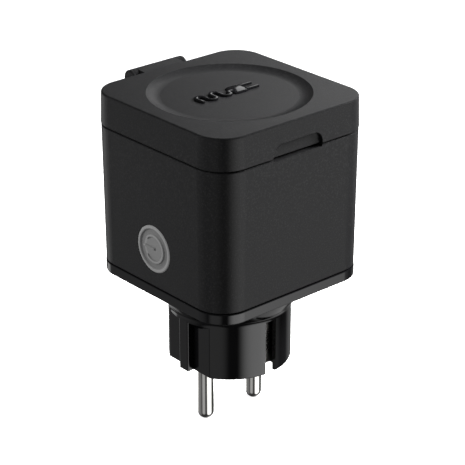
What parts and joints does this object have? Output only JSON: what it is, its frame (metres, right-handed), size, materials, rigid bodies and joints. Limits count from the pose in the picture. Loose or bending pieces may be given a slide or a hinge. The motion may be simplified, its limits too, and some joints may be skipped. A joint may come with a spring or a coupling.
{
  "type": "smart plug",
  "caption": "Square outdoor smart plug: round two-pin plug below, shuttered socket under a sprung hinged lid, push button on the side.",
  "frame": {"origin": "centre of the plug's flat engagement face, between the two pins", "axes": "+Z from the plug towards the lid; the two pins stand along X; the button is on -X; the lid opens at -Y and hinges at +Y"},
  "size_m": [0.0568, 0.0635, 0.101],
  "materials": {
    "housing": "fine moulded grain, satin",
    "gloss_black": "polished",
    "seal": "matt",
    "pin_metal": "polished nickel plate",
    "spring_steel": "bright strip",
    "copper_alloy": "bright strip",
    "screw_steel": "zinc plated",
    "inner_plastic": "plain moulded",
    "circuit_board": "solder resist",
    "relay_case": "plain moulded",
    "transformer": "ferrite and tape",
    "capacitor_sleeve": "shrink sleeve",
    "film_capacitor": "plain moulded",
    "varistor": "epoxy dip",
    "fuse_resistor": "lacquer",
    "tinned_can": "tinned sheet",
    "stem_plastic": "plain moulded",
    "led": "clear",
    "silicone": "translucent, satin"
  },
  "bodies": {
    "housing": {"body_shell": "housing", "base_cover": "gloss_black", "body_gasket": "seal", "plug_head": "gloss_black", "line_pin": "pin_metal", "neutral_pin": "pin_metal", "plug_earth_bracket": "spring_steel", "line_busbar": "copper_alloy", "neutral_busbar": "copper_alloy", "case_screws": "screw_steel", "socket_insert": "housing", "socket_gasket": "seal", "insert_screws": "screw_steel", "socket_earth_clip": "spring_steel", "contact_block": "inner_plastic", "line_contact": "copper_alloy", "neutral_contact": "copper_alloy", "shutter_spring": "spring_steel", "main_board": "circuit_board", "board_screws": "screw_steel", "relay": "relay_case", "transformer": "transformer", "electrolytic_capacitors": "capacitor_sleeve", "film_capacitor": "film_capacitor", "varistor": "varistor", "fuse_resistor": "fuse_resistor", "control_board": "circuit_board", "radio_shield": "tinned_can", "tact_switch_body": "inner_plastic", "status_led": "led", "button_frame": "inner_plastic", "hinge_pin": "spring_steel", "hinge_caps": "housing", "hinge_spring": "spring_steel"},
    "lid": {"lid_shell": "housing", "lid_liner": "housing", "lid_gasket": "seal", "lid_badge": "gloss_black"},
    "button": {"power_button": "silicone"},
    "switch_stem": {"tact_stem": "stem_plastic"},
    "shutter": {"shutter": "inner_plastic"}
  },
  "joints": [
    {"name": "lid_hinge", "type": "hinge", "parent": "housing", "child": "lid", "pos_m": [0, 0.0325, 0.0792], "axis": [-1, 0, 0], "range_deg": [0, 110], "stiffness_Nm_per_rad": 0.01, "springref_deg": -68.75},
    {"name": "button_press", "type": "slide", "parent": "housing", "child": "button", "axis": [1, 0, 0], "range_m": [0, 0.0005], "stiffness_N_per_m": 800},
    {"name": "switch_travel", "type": "slide", "parent": "housing", "child": "switch_stem", "axis": [1, 0, 0], "range_m": [0, 0.0005]},
    {"name": "shutter_turn", "type": "hinge", "parent": "housing", "child": "shutter", "pos_m": [0, 0, 0.0505], "axis": [0, 0, 1], "range_deg": [0, 35], "stiffness_Nm_per_rad": 0.02, "springref_deg": -17.19}
  ],
  "couplings": [
    {"joint": "switch_travel", "follows": "button_press", "ratio": 1}
  ]
}
